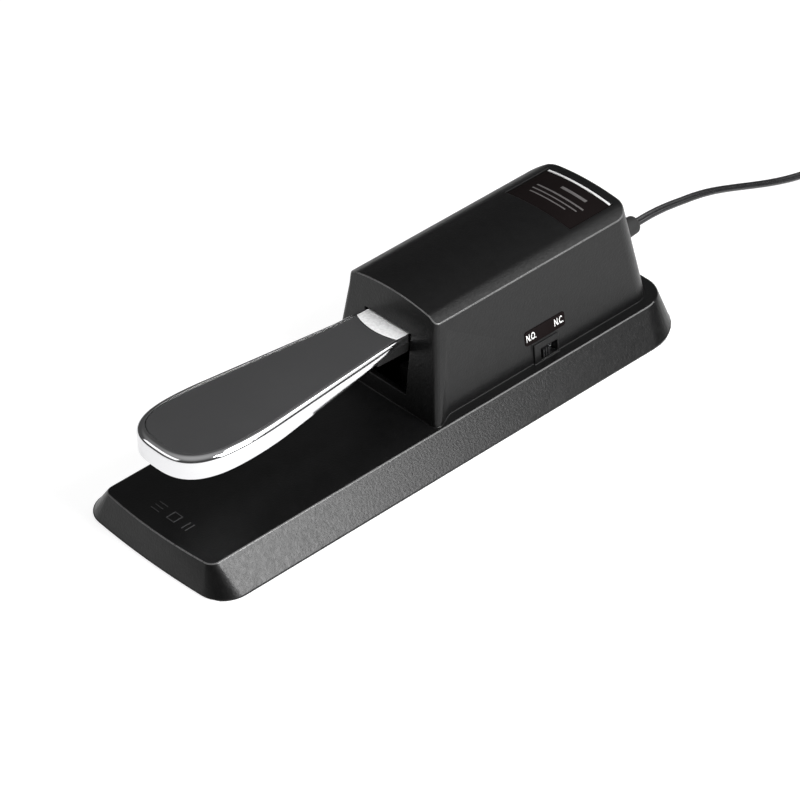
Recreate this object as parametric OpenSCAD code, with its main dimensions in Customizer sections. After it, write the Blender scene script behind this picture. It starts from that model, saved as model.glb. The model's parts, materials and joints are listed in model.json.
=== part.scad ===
// Sustain pedal: a low housing with a chromed foot lever, a hinged arm inside,
// a sensing switch, a polarity slide switch and a flat twin lead with a jack plug.
// Millimetres. +Z is up, the toe end points to -Y, the lead leaves at +Y.
// The origin is the centre of the footprint, on the surface the pedal stands on.

/* [Base] */
// Length of the footprint, toe to heel
base_len = 242; // [240:1:244]
// Width of the footprint
base_w = 84; // [83:1:86]
// Height of the base's flat top
base_h = 12; // [11.5:0.5:12.5]
// How far the long sides lean in towards the top
side_lean = 10; // [9:0.5:11]
// Wall thickness of the housing
wall = 2.5; // [2.2:0.1:2.8]

/* [Tower] */
// Half width of the tower where it meets the base
tower_foot_hw = 27; // [27:0.1:27.4]
// Half width of the tower at the lower edge of its roof chamfer
tower_top_hw = 25.2; // [25:0.1:25.4]
// Height of the lower edge of the roof chamfer
chamfer_low_z = 53.4; // [53:0.2:53.8]
// Height of the crown of the roof
crown_z = 57.4; // [57:0.2:57.8]
// Height of the sill of the lever slot
sill_z = 18.4; // [17.6:0.1:18.8]

/* [Lever] */
// Height of the hinge pin
pivot_z = 27.9; // [27.9:0.1:28.1]
// Distance of the hinge pin behind the centre of the base
pivot_y = 86; // [86:0.1:86.2]
// How far the lever slopes up towards the toe at rest, in degrees
rest_tilt = 2.53; // [2.45:0.01:2.6]
// Full travel of the lever, in degrees
press_deg = 6; // [5:0.5:6]
// Thickness of the chromed shell
shell_t = 1.4; // [1.2:0.1:1.5]

/* [Lead] */
// Width of the flat twin lead
lead_w = 4; // [3.6:0.2:4]
// Mean diameter of the stored coil
coil_mean_d = 48; // [46:1:48]

/* [Hidden] */
$fn = 48;
thin = 0.01;
black = [0.13, 0.13, 0.14];

// ---- base ----
skirt_z = 0.5;
base_hl = base_len / 2;
base_hw = base_w / 2;
front_lean = 4.3;
rear_lean = 2;
base_front_r = 12;
base_rear_r = 22;
top_front_r = 4;
top_rear_r = 13.5;
front_bow = 2;
rear_bow = 0.6;
ceiling_z = base_h - wall;
slope_gap = 3.4;
front_gap = 2.8;

// ---- tower ----
foot_front_y = -4;
foot_rear_y = 113.6;
top_front_y = 4.2;
top_rear_y = 106.6;
tower_front_r = 2.2;
tower_rear_r = 8.6;
tower_bow = 0.2;
chamfer_high_z = 55.4;
chamfer_high_hw = 21.2;
roof_rise = crown_z - chamfer_high_z;
roof_r = (chamfer_high_hw * chamfer_high_hw + roof_rise * roof_rise) / (2 * roof_rise);
chamfer_slope = (chamfer_high_z - chamfer_low_z) / (tower_top_hw - chamfer_high_hw);
tower_ceiling_z = 52;
side_tilt = atan2(tower_foot_hw - tower_top_hw, chamfer_low_z - base_h);
slot_hw = 13.2;
neck_x = -1;
slot_top_z = 43.9;
corner_flare = 3.7;

// ---- base plate, mat and their screws ----
mat_t = 2;
plate_t = 2;
plate_top_z = mat_t + plate_t;
boss_r = 3.6;
boss_sites = [[-24, -101], [24, -101], [-24, -26], [24, -26], [-22.2, 102], [22.2, 102]];
post_top_z = 16;
screw_hole_z = 10.2;

// ---- lever: its own frame has the pin at the origin and the toe towards -Y ----
rim_h = 11.8;
plate_low_h = 9.2;
inlay_floor_h = 10.4;
inlay_top_h = 11.6;
edge_h = 9.4;
skirt_low_h = 2.4;
skirt_line = [[150, 4], [128, 5.6], [113, 7.3]];
shell_rear_v = 79;
skirt_end_v = 101;
shell_rear_hw = 12.05;
flare_v = 157;
flare_hw = 21;
wide_v = 170;
wide_hw = 21.9;
tip_run = 28.7;
shell_power = 2.8;
inlay_rear_v = 90;
inlay_neck_hw = 11.4;
inlay_flare_hw = 18.4;
inlay_wide_hw = 19.1;
inlay_run = 24.8;
inlay_power = 3;
arm_hw = 11.4;
arm_top_h = 9.1;
arm_low_h = 1.5;
arm_neck_h = 4.6;
arm_toe_h = 4.6;
stop_h = 10.3;
barrel_r = 5.6;
barrel_hw = 12;
pin_r = 2.5;
shell_screw_v = [112, 146];
spring_v = 45;
foot_v = 69;
actuator_v = 20;

// ---- hinge bracket and spring ----
ear_in = 12.3;
ear_t = 1.5;
ear_r = 8;
bracket_base_z = plate_top_z + 1.5;
rivet_sites = [[-8, 78], [8, 78], [-8, 94], [8, 94]];
spring_y = pivot_y - spring_v;
spring_low_z = 5.3;
spring_high_z = 30.8;
spring_coil_r = 5.8;
wire_r = 0.75;
spring_turns = 7;

// ---- circuit board and switches ----
board_z = 9.4;
board_t = 1.6;
board_top_z = board_z + board_t;
board_screw_sites = [[-11, 56.5], [20, 68.5], [17, 48.8]];
sense_y = pivot_y - actuator_v;
sense_top_z = 20.4;
plunger_top_z = 23.1;
knob_y = 55.8;
knob_z = 14.9;
knob_w = 3.4;
window_y = 57.3;
window_w = 8.4;
window_z = 15.2;
window_h = 5.2;
bezel_w = 12.6;

// ---- labels ----
label_front_y = 79.8;
label_len = 22.2;
label_hw = 18;
recess_t = 1;
side_label_y = 56.6;
side_label_z = 24.8;
side_label_w = 20.6;
side_label_h = 6.4;

// ---- lead: the route runs from the strain relief down to the floor and into the coil ----
exit_z = 24;
relief_end_y = 130;
lead_t = lead_w / 2;
coil_x = 34;
coil_y = 280;
coil_in_r = coil_mean_d / 2 - 6.5;
coil_out_r = coil_mean_d / 2 + 6.5;
coil_h = 2 * lead_w + 0.3;
lead_route = [[0, 130, 24], [0, 137, 24.1], [0, 144, 23.7], [0, 150, 22.9], [0, 157, 21.7],
              [0, 164, 20.4], [0, 172, 18.3], [0.1, 180, 15.6], [0.4, 188, 12.7], [0.8, 196, 9.8],
              [1.3, 204, 7.1], [1.8, 212, 4.8], [2.3, 220, 3], [2.8, 228, 1.8], [3.2, 236, 1.2],
              [3.6, 244, 1.1], [4, 252, 1.3], [4.3, 260, 1.7], [4.6, 270, 2], [4.7, 280, 2.1]];
tail_route = [[63.3, 280, 6.2], [63.5, 274, 6.1], [64.1, 268, 5.9], [65, 262, 5.6],
              [65.7, 257, 5.5], [66, 252, 5.5]];
plug_x = 66;
plug_y = 252;
plug_z = 5.5;
plug_r = 3.175;
wire_routes = [[[12, 70, 11.4], [15.5, 71, 12.2], [17, 74, 13.5], [18, 80, 15], [18, 92, 17.5],
                [14, 100, 20.6], [6, 103.4, 22.2], [1.2, 105.6, 23]],
               [[8, 71.4, 11.4], [12, 72, 12.6], [15.5, 73.6, 14.6], [16.4, 80, 17],
                [16.4, 92, 19.5], [12, 98, 21.6], [4, 102.6, 24.2], [-1.2, 105.6, 25]]];
lead_wire_r = 0.7;

// One half of a rounded front: a shallow bow of depth s that runs into a corner of radius r
function half_bow(w, r, s) =
    let (b = (w * w + s * s) / (2 * s),
         yc = b - sqrt(pow(b - r, 2) - pow(w - r, 2)),
         a = atan2(yc - b, w - r))
    concat([for (i = [0:4]) let (t = -90 + (a + 90) * i / 4) [b * cos(t), b + b * sin(t)]],
           [for (i = [1:9]) let (t = a * (1 - i / 9)) [w - r + r * cos(t), yc + r * sin(t)]]);

// Closed outline of half width w from yf to yr, with bowed ends and rounded corners
function outline(w, yf, yr, rf, rr, sf, sr) =
    let (front = [for (p = half_bow(w, rf, sf)) [p.x, yf + p.y]],
         rear = [for (p = half_bow(w, rr, sr)) [p.x, yr - p.y]],
         n = len(rear),
         right = concat(front, [for (i = [0:n - 1]) rear[n - 1 - i]]),
         m = len(right))
    concat(right, [for (i = [1:m - 2]) [-right[m - 1 - i].x, right[m - 1 - i].y]]);

// Outline of the tower at height z, set in by t
function tower_outline(z, t) =
    let (k = (z - base_h) / (chamfer_low_z - base_h))
    outline(tower_foot_hw + (tower_top_hw - tower_foot_hw) * k - t,
            foot_front_y + (top_front_y - foot_front_y) * k + t,
            foot_rear_y + (top_rear_y - foot_rear_y) * k - t,
            tower_front_r - t / 2, tower_rear_r - t, tower_bow, tower_bow);

// Half outline of the lever: straight sides that flare, then a blunt round toe
function spoon_side(v0, hw0, v1, hw1, wide, run, power) =
    concat([[hw0, -v0], [hw1, -v1], [hw1 + (wide - hw1) * 0.72, -(v1 + 6.5)]],
           [for (i = [0:11]) let (a = i * 7.5)
               [wide * pow(cos(a), 2 / power), -(wide_v + run * pow(sin(a), 2 / power))]],
           [[0, -(wide_v + run)]]);

// Closed outline from its right half, whose last point lies on the middle line
function mirrored(half) =
    concat(half, [for (i = [2:len(half)]) let (p = half[len(half) - i]) [-p.x, p.y]]);

// Leans an outline sideways at its neck, so that it runs into the slot's middle
function leant(points) =
    [for (p = points) [p.x + neck_x * min(1, max(0, (flare_v + p.y) / (flare_v - inlay_rear_v))), p.y]];

// Outline of the chromed shell, set in by t all round except at its open rear end
function shell_outline(t) =
    leant(mirrored(spoon_side(shell_rear_v, shell_rear_hw - t, flare_v, flare_hw - t,
                        wide_hw - t, tip_run - t, shell_power)));

// Outline of the inlay, set in by t
function inlay_outline(t) =
    leant(mirrored(spoon_side(inlay_rear_v + t, inlay_neck_hw - t, flare_v, inlay_flare_hw - t,
                        inlay_wide_hw - t, inlay_run - t, inlay_power)));

// Unit vector
function unit(v) = v / norm(v);

// Direction of a route at its point i
function along(route, i) = unit(route[min(i + 1, len(route) - 1)] - route[max(i - 1, 0)]);

// Ring of an oval lead around point i of a route, a wide and b high
function ring(route, i, a, b, sides) =
    let (t = along(route, i), n = unit([t.y, -t.x, 0]), u = cross(n, t))
    [for (k = [0:sides - 1]) let (g = 360 * k / sides)
        route[i] + n * (a / 2 * cos(g)) + u * (b / 2 * sin(g))];

// Sweep of an oval section along a route, closed at both ends
module sweep(route, a, b, sides) {
    n = len(route);
    points = [for (i = [0:n - 1]) each ring(route, i, a, b, sides)];
    wall_faces = [for (i = [0:n - 2]) for (k = [0:sides - 1])
        let (j = (k + 1) % sides, a0 = i * sides, b0 = (i + 1) * sides)
        each [[a0 + k, a0 + j, b0 + j], [a0 + k, b0 + j, b0 + k]]];
    start_face = [[for (k = [0:sides - 1]) sides - 1 - k]];
    end_face = [[for (k = [0:sides - 1]) (n - 1) * sides + k]];
    polyhedron(points, concat(start_face, wall_faces, end_face), convexity = 6);
}

// Tapered block between an outline at z0 and an outline at z1
module loft(z0, low, z1, high) {
    hull() {
        translate([0, 0, z0]) linear_extrude(thin) polygon(low);
        translate([0, 0, z1 - thin]) linear_extrude(thin) polygon(high);
    }
}

// Cylinder along X, centred on the origin
module x_rod(r, half_len) {
    rotate([0, 90, 0]) cylinder(r = r, h = 2 * half_len, center = true);
}

// Puts lever parts, drawn level around the pin, in their rest position
module at_rest() {
    translate([0, pivot_y, pivot_z]) rotate([-rest_tilt, 0, 0]) children();
}

// Puts a flat drawing on the right side of the tower: X becomes +Y, Y runs up the face
module on_side(y, z) {
    x = tower_foot_hw - (z - base_h) * tan(side_tilt);
    translate([x, y, z]) rotate([0, -side_tilt, 0]) rotate([90, 0, 90]) children();
}

// Long block under a roof surface that is drop below the crown
module under_roof(drop) {
    translate([0, 0, crown_z - roof_r]) rotate([90, 0, 0])
        cylinder(r = roof_r - drop, h = 400, center = true, $fn = 240);
}

// Section of the tower under its two roof chamfers
module chamfer_block() {
    reach = 60;
    low = chamfer_high_z - chamfer_slope * (reach - chamfer_high_hw);
    rotate([90, 0, 0]) linear_extrude(400, center = true)
        polygon([[-reach, 0], [reach, 0], [reach, low], [chamfer_high_hw, chamfer_high_z],
                 [0, 80], [-chamfer_high_hw, chamfer_high_z], [-reach, low]]);
}

module base_body() {
    loft(skirt_z, outline(base_hw, -base_hl, base_hl, base_front_r, base_rear_r,
                          front_bow, rear_bow),
         base_h, outline(base_hw - side_lean, -base_hl + front_lean, base_hl - rear_lean,
                         top_front_r, top_rear_r, front_bow, rear_bow));
}

module base_hollow() {
    k = (ceiling_z - skirt_z) / (base_h - skirt_z);
    loft(skirt_z - 0.1, outline(base_hw - slope_gap, -base_hl + front_gap, base_hl - front_gap,
                                base_front_r - 2, base_rear_r - 2, front_bow, rear_bow),
         ceiling_z, outline(base_hw - side_lean * k - slope_gap,
                            -base_hl + front_lean * k + front_gap,
                            base_hl - rear_lean * k - front_gap,
                            top_front_r, top_rear_r, front_bow, rear_bow));
}

module tower_body() {
    intersection() {
        loft(base_h - 1, tower_outline(base_h - 1, 0), 58, tower_outline(58, 0));
        chamfer_block();
        under_roof(0);
    }
}

// Right front corner of the tower, which flares out towards its foot
module flared_corner() {
    low_z = base_h - 1;
    high_z = chamfer_low_z - 3;
    run = (top_front_y - foot_front_y) / (chamfer_low_z - base_h);
    f = foot_front_y + run * (low_z - base_h) + tower_bow;
    g = foot_front_y + run * (high_z - base_h) + tower_bow;
    w = tower_foot_hw + corner_flare;
    v = tower_top_hw;
    loft(low_z, [[20, f], [w - 2.1, f], [w - 1, f + 0.3], [w - 0.3, f + 1], [w, f + 2.1],
                 [w - 0.5, f + 3.6], [tower_foot_hw, f + 10], [20, f + 10]],
         high_z, [[20, g], [v - 2.1, g], [v - 1, g + 0.3], [v - 0.3, g + 1], [v, g + 2.1],
                  [v, g + 3.6], [v, g + 6], [20, g + 6]]);
}

module tower_hollow() {
    loft(ceiling_z - 1, tower_outline(ceiling_z - 1, wall),
         tower_ceiling_z, tower_outline(tower_ceiling_z, wall));
}

// Raised frame around the slide switch, standing on the base's top
module switch_bezel() {
    h = 8.8;
    translate([tower_foot_hw - 2, window_y - bezel_w / 2 - 1.3, base_h - 0.5])
        cube([2.9, bezel_w, h + 0.5]);
}

module housing() {
    rib_y = 12;
    rib_z = 43.3;
    color(black) difference() {
        union() {
            difference() {
                union() {
                    base_body();
                    tower_body();
                    flared_corner();
                    mirror([1, 0, 0]) flared_corner();
                    switch_bezel();
                }
                base_hollow();
                tower_hollow();
            }
            for (s = boss_sites)
                translate([s.x, s.y, plate_top_z])
                    cylinder(r = boss_r, h = (s.y > 0 ? post_top_z : ceiling_z + 1) - plate_top_z);
            translate([-12, rib_y, rib_z]) cube([24, 6, 10]);
        }
        for (s = boss_sites)
            translate([s.x, s.y, skirt_z]) cylinder(r = 1.5, h = screw_hole_z - skirt_z, $fn = 24);
        translate([neck_x - slot_hw, -20, sill_z]) cube([2 * slot_hw, 28, slot_top_z - sill_z]);
        translate([tower_foot_hw - 8, window_y - window_w / 2, window_z - window_h / 2])
            cube([12, window_w, window_h]);
        translate([0, 104, exit_z]) rotate([-90, 0, 0]) cylinder(r = 5.2, h = 12);
        difference() {
            translate([-label_hw - 0.3, label_front_y - 0.3, 50])
                cube([2 * label_hw + 0.6, label_len + 0.6, 10]);
            under_roof(recess_t);
        }
    }
}

module top_label() {
    color([0.10, 0.08, 0.08]) intersection() {
        translate([-label_hw, label_front_y, 50]) cube([2 * label_hw, label_len, 10]);
        difference() {
            under_roof(recess_t - 0.42);
            under_roof(recess_t - 0.02);
        }
    }
}

module polarity_label() {
    color([0.10, 0.08, 0.08]) on_side(side_label_y, side_label_z)
        translate([0, 0, 0.03]) linear_extrude(0.2) difference() {
            square([side_label_w, side_label_h], center = true);
            for (sx = [-1, 1]) for (sy = [-1, 1])
                translate([sx * side_label_w / 2, sy * side_label_h / 2])
                    rotate(45) square(1, center = true);
        }
}

module base_plate() {
    color([0.45, 0.46, 0.48]) difference() {
        translate([0, 0, mat_t]) linear_extrude(plate_t)
            polygon(outline(base_hw - 6.8, -base_hl + 4.6, base_hl - 4.2, 8, 18,
                            front_bow, rear_bow));
        for (s = boss_sites) translate([s.x, s.y, 0]) cylinder(r = 1.7, h = 6, $fn = 24);
        for (s = rivet_sites) translate([s.x, s.y, 0]) cylinder(r = 1.5, h = 6, $fn = 24);
        for (s = board_screw_sites) translate([s.x, s.y, 0]) cylinder(r = 1.3, h = 6, $fn = 24);
    }
}

module rubber_mat() {
    color([0.10, 0.10, 0.10]) difference() {
        linear_extrude(mat_t)
            polygon(outline(base_hw - 5, -base_hl + 3.6, base_hl - 3.6, 9.5, 19.5,
                            front_bow, rear_bow));
        for (s = boss_sites) translate([s.x, s.y, -1]) cylinder(r = 4.2, h = 4);
    }
}

// Pan head screws that hold the base plate to the housing's bosses
module bottom_screws() {
    color([0.55, 0.55, 0.57]) for (s = boss_sites) translate([s.x, s.y, 0]) difference() {
        union() {
            translate([0, 0, 0.4]) cylinder(r = 3.1, h = 1.6);
            cylinder(r = 1.45, h = 9.9, $fn = 24);
        }
        translate([0, 0, -1]) cylinder(r = 4, h = 1.4);
        for (a = [0, 90]) rotate(a) translate([-1.8, -0.35, 0]) cube([3.6, 0.7, 1.1]);
    }
}

// Side view of the chromed shell: skirts that rise to nothing at the neck, then the bare top strip
module shell_profile() {
    toe_y = -wide_v - tip_run - 1;
    rotate([90, 0, 90]) linear_extrude(60, center = true)
        polygon(concat([[toe_y, skirt_low_h]], [for (p = skirt_line) [-p.x, p.y]],
                       [[-skirt_end_v, plate_low_h], [-shell_rear_v, plate_low_h],
                        [-shell_rear_v, rim_h + 1], [toe_y, rim_h + 1]]));
}

// Chromed spoon: rounded rim, pressed recess for the inlay and a hollow underside
module lever_shell() {
    bevel = 2.2;
    color([0.80, 0.81, 0.83]) at_rest() difference() {
        intersection() {
            union() {
                linear_extrude(edge_h) polygon(shell_outline(0));
                loft(edge_h - thin, shell_outline(0), rim_h, shell_outline(bevel));
            }
            shell_profile();
        }
        translate([0, 0, -1]) linear_extrude(plate_low_h + 1) polygon(shell_outline(shell_t));
        translate([0, 0, inlay_floor_h]) linear_extrude(3) polygon(inlay_outline(0));
        for (v = shell_screw_v) translate([0, -v, 8]) cylinder(r = 1.6, h = 5, $fn = 24);
    }
}

module lever_inlay() {
    gap = 0.08;
    edge = 0.4;
    color([0.16, 0.16, 0.17]) at_rest() difference() {
        hull() {
            translate([0, 0, inlay_floor_h]) linear_extrude(0.9) polygon(inlay_outline(gap));
            translate([0, 0, inlay_top_h - thin]) linear_extrude(thin)
                polygon(inlay_outline(gap + edge));
        }
        for (v = shell_screw_v) translate([0, -v, inlay_floor_h - 1]) cylinder(r = 3.3, h = 1.7);
    }
}

// Countersunk screws from the shell's recess into the arm, hidden by the inlay
module shell_screws() {
    color([0.55, 0.55, 0.57]) at_rest() for (v = shell_screw_v) translate([0, -v, 0]) {
        translate([0, 0, inlay_floor_h]) cylinder(r = 3, h = 0.6);
        translate([0, 0, 3.6]) cylinder(r = 1.5, h = inlay_floor_h - 3.6, $fn = 24);
    }
}

module lever_arm() {
    color(black) at_rest() difference() {
        union() {
            translate([-arm_hw, -skirt_end_v + 0.6, arm_neck_h])
                cube([2 * arm_hw, skirt_end_v - 0.6, arm_top_h - arm_neck_h]);
            translate([-arm_hw, -75, arm_low_h]) cube([2 * arm_hw, 75, arm_top_h - arm_low_h]);
            translate([-arm_hw, -shell_rear_v + 0.4, arm_top_h - 1])
                cube([2 * arm_hw, 17, stop_h - arm_top_h + 1]);
            translate([-8.5, -156, arm_toe_h]) cube([17, 60, arm_top_h - arm_toe_h - 0.05]);
            for (v = shell_screw_v) translate([0, -v, 3]) cylinder(r = 4, h = arm_top_h - 3.05);
            x_rod(barrel_r, barrel_hw);
            translate([-arm_hw, -7, 0]) cube([2 * arm_hw, 7, 6]);
            translate([0, -spring_v, -3.5]) cylinder(r = 3.8, h = 6);
            translate([-8, -foot_v - 3, -9.5]) cube([16, 6, 12]);
            translate([-1.6, -actuator_v - 1.2, -5.4]) cube([3.2, 2.4, 8]);
            translate([-6, -actuator_v - 3, -1]) cube([12, 6, 4]);
        }
        x_rod(pin_r + 0.05, barrel_hw + 1);
        for (v = shell_screw_v) translate([0, -v, 2]) cylinder(r = 1.55, h = 12, $fn = 24);
        for (sx = [-1, 1]) translate([sx * 6 - 3.6, -64, 5.4]) cube([7.2, 50, 6]);
    }
}

module hinge_pin() {
    color([0.70, 0.71, 0.73]) translate([0, pivot_y, pivot_z]) x_rod(pin_r, 15.8);
}

// Retaining rings on both ends of the pin
module pin_clips() {
    color([0.40, 0.41, 0.43]) translate([0, pivot_y, pivot_z]) for (s = [-1, 1])
        translate([s * 14.3, 0, 0]) difference() {
            x_rod(4.4, 0.4);
            x_rod(pin_r, 1);
            translate([0, 0, -4]) cube([2, 2.2, 5], center = true);
        }
}

module hinge_bracket() {
    color([0.62, 0.63, 0.65]) difference() {
        union() {
            translate([-ear_in - ear_t, 74, plate_top_z])
                cube([2 * (ear_in + ear_t), 24, bracket_base_z - plate_top_z]);
            for (s = [-1, 1]) translate([s * (ear_in + ear_t / 2), pivot_y, 0]) {
                translate([-ear_t / 2, -ear_r, plate_top_z])
                    cube([ear_t, 2 * ear_r, pivot_z - plate_top_z]);
                translate([0, 0, pivot_z]) x_rod(ear_r, ear_t / 2);
            }
        }
        translate([0, pivot_y, pivot_z]) x_rod(pin_r, 20);
        for (s = rivet_sites) translate([s.x, s.y, 0]) cylinder(r = 1.5, h = 8, $fn = 24);
    }
}

module bracket_rivets() {
    color([0.66, 0.66, 0.68]) for (s = rivet_sites) translate([s.x, s.y, mat_t]) {
        cylinder(r = 1.48, h = bracket_base_z - mat_t, $fn = 24);
        translate([0, 0, bracket_base_z - mat_t]) cylinder(r = 2.7, h = 0.9);
    }
}

// Compression spring: closed end turns and an even pitch between them
module return_spring() {
    steps = 16;
    total = spring_turns * steps;
    rise = spring_high_z - spring_low_z - 2 * wire_r;
    route = [for (i = [0:total])
        let (t = i / total, a = 360 * spring_turns * t,
             k = min(1, max(0, (t - 0.14) / 0.72)),
             z = wire_r * 1.6 * min(t, 0.14) / 0.14 + wire_r * 1.6 * max(0, t - 0.86) / 0.14
                 + (rise - wire_r * 3.2) * k)
        [spring_coil_r * cos(a), spring_coil_r * sin(a), z]];
    color([0.62, 0.63, 0.66]) translate([0, spring_y, spring_low_z + wire_r])
        sweep(route, 2 * wire_r, 2 * wire_r, 8);
}

// Cup on the base plate that centres the spring
module spring_cup() {
    color([0.85, 0.84, 0.80]) translate([0, spring_y, plate_top_z]) difference() {
        cylinder(r = 9, h = 3);
        difference() {
            translate([0, 0, spring_low_z - plate_top_z]) cylinder(r = 7.2, h = 3);
            cylinder(r = 4.2, h = 6);
        }
    }
}

module up_stop_pad() {
    color([0.30, 0.30, 0.31]) translate([-10, 12.4, 41.8]) cube([20, 5.2, 1.5]);
}

module down_stop_block() {
    color([0.17, 0.17, 0.17]) translate([0, pivot_y - foot_v, plate_top_z])
        translate([-9, -4.5, 0]) cube([18, 9, 9.7]);
}

module circuit_board() {
    color([0.10, 0.34, 0.18]) difference() {
        translate([0, 0, board_z]) linear_extrude(board_t)
            polygon([[-14, 53], [14, 53], [14, 46], [23.9, 46], [23.9, 72.6], [-14, 72.6]]);
        for (s = board_screw_sites) translate([s.x, s.y, 5]) cylinder(r = 1.3, h = 8, $fn = 24);
    }
}

module board_spacers() {
    color([0.90, 0.89, 0.84]) for (s = board_screw_sites) translate([s.x, s.y, plate_top_z])
        difference() {
            cylinder(r = 2.8, h = board_z - plate_top_z);
            translate([0, 0, -1]) cylinder(r = 1.3, h = 10, $fn = 24);
        }
}

module board_screws() {
    color([0.55, 0.55, 0.57]) for (s = board_screw_sites) translate([s.x, s.y, 0]) {
        translate([0, 0, board_top_z]) cylinder(r = 2.4, h = 1.5);
        translate([0, 0, mat_t + 0.2]) cylinder(r = 1.25, h = board_top_z - mat_t, $fn = 24);
    }
}

// Momentary switch that the arm works; its plunger slides in the pocket
module sense_switch() {
    color([0.12, 0.12, 0.13]) difference() {
        translate([-10, sense_y - 3.2, board_top_z]) cube([20, 6.4, sense_top_z - board_top_z]);
        translate([-2, sense_y - 1.5, 14.3]) cube([4, 3, 8]);
    }
}

module sense_plunger() {
    bottom_z = 17.6;
    color([0.75, 0.12, 0.10]) translate([-1.8, sense_y - 1.3, bottom_z])
        cube([3.6, 2.6, plunger_top_z - bottom_z]);
}

module polarity_switch() {
    color([0.55, 0.56, 0.58]) difference() {
        translate([19, 51, board_top_z]) cube([4.8, 12, 7.6]);
        translate([20.4, 52.8, knob_z - 2.1]) cube([5, 8.6, 4.2]);
    }
}

module polarity_knob() {
    color([0.08, 0.08, 0.08]) {
        translate([20.8, knob_y - knob_w / 2, knob_z - 1.8]) cube([6.4, knob_w, 3.6]);
        for (i = [-1:1]) translate([27.2, knob_y + i * 1.25, knob_z]) difference() {
            translate([0, -0.45, -1.8]) cube([0.7, 0.9, 3.6]);
            translate([0.8, 0, -2]) rotate(45) cube([0.5, 0.5, 4]);
        }
    }
}

module switch_wires() {
    color([0.55, 0.10, 0.08]) for (r = wire_routes) sweep(r, 2 * lead_wire_r, 2 * lead_wire_r, 8);
}

// Bush in the rear wall with a tapered nose that carries the lead
module strain_relief() {
    color(black) translate([0, 0, exit_z]) rotate([-90, 0, 0]) rotate_extrude()
        polygon([[0, 105.6], [6.4, 105.6], [6.4, 107.6], [5, 107.8], [5, 112.8], [6.2, 112.8],
                 [6.2, 114.2], [4.9, 115], [3.7, relief_end_y - 0.8], [3.1, relief_end_y],
                 [0, relief_end_y]]);
}

module lead_tube() {
    color(black) sweep(lead_route, lead_w, lead_t, 10);
}

// The stored turns, two layers deep
module lead_coil() {
    color(black) translate([coil_x, coil_y, 0]) rotate_extrude($fn = 72)
        polygon([[coil_in_r + 0.8, 0], [coil_out_r - 0.8, 0], [coil_out_r, 0.8],
                 [coil_out_r, coil_h - 0.8], [coil_out_r - 0.8, coil_h],
                 [coil_in_r + 0.8, coil_h], [coil_in_r, coil_h - 0.8], [coil_in_r, 0.8]]);
}

module lead_tail() {
    color(black) sweep(tail_route, lead_t, lead_w, 10);
}

// Places a round plug part, drawn along +Z from the lead's end, on the plug's axis
module on_plug() {
    translate([plug_x, plug_y, plug_z]) rotate([90, 0, 0]) children();
}

module plug_handle() {
    color(black) on_plug() rotate_extrude()
        polygon([[0, 0], [2.8, 0], [3.1, 0.8], [3.9, 13], [4.9, 14.5], [5.3, 16], [5.3, 40],
                 [5, 42], [4.5, 42.6], [0, 42.6]]);
}

module plug_sleeve() {
    color([0.83, 0.83, 0.84]) on_plug() translate([0, 0, 42.6]) rotate_extrude()
        polygon([[0, 0], [4.3, 0], [4.3, 1.2], [plug_r, 1.2], [plug_r, 22], [0, 22]]);
}

module plug_insulator() {
    color([0.08, 0.08, 0.08]) on_plug() translate([0, 0, 64.6])
        cylinder(r = 2.85, h = 1.2);
}

module plug_tip() {
    color([0.83, 0.83, 0.84]) on_plug() translate([0, 0, 65.8]) rotate_extrude()
        polygon([[0, 0], [3.1, 0], [3.1, 1.6], [2.3, 2.8], [2.3, 3.4], [3, 4.8],
                 [3, 5.4], [1.4, 8], [0.6, 8.5], [0, 8.5]]);
}

housing();
base_plate();
rubber_mat();
bottom_screws();
lever_shell();
lever_inlay();
lever_arm();
shell_screws();
hinge_pin();
pin_clips();
hinge_bracket();
bracket_rivets();
return_spring();
spring_cup();
up_stop_pad();
down_stop_block();
circuit_board();
board_spacers();
board_screws();
sense_switch();
sense_plunger();
polarity_switch();
polarity_knob();
polarity_label();
top_label();
switch_wires();
strain_relief();
lead_tube();
lead_coil();
lead_tail();
plug_handle();
plug_sleeve();
plug_insulator();
plug_tip();
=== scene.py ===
"""Looks of the sustain pedal. Camera and lead come first, then pieces, materials and lights."""

import json
import math

import bmesh
import bpy
from mathutils import Matrix, Vector


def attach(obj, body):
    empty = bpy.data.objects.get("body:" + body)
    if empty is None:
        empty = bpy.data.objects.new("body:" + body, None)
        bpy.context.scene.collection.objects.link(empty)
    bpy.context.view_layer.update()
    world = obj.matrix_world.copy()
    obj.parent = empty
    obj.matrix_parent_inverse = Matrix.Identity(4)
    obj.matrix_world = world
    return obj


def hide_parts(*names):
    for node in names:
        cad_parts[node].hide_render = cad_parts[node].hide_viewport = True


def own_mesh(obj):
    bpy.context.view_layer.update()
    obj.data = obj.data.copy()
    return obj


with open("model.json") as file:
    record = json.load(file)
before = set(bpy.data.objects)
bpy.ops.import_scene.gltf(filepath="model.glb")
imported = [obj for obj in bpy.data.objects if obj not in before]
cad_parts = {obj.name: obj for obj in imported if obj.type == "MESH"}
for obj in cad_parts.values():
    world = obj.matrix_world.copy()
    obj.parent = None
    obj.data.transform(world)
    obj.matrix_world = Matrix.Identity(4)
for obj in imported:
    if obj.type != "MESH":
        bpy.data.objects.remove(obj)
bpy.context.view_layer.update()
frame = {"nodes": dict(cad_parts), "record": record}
nodes = frame["nodes"]
scene = bpy.context.scene
MM = 0.001

# ---------------------------------------------------------------- camera
CAM_AZIMUTH = 51.8
CAM_ELEVATION = 37.08
CAM_ROLL = -5.0
CAM_DISTANCE = 1545.15 * MM
CAM_TARGET = Vector((15.0, -7.7, 20.0)) * MM
CAM_LENS = 183.82


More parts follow.
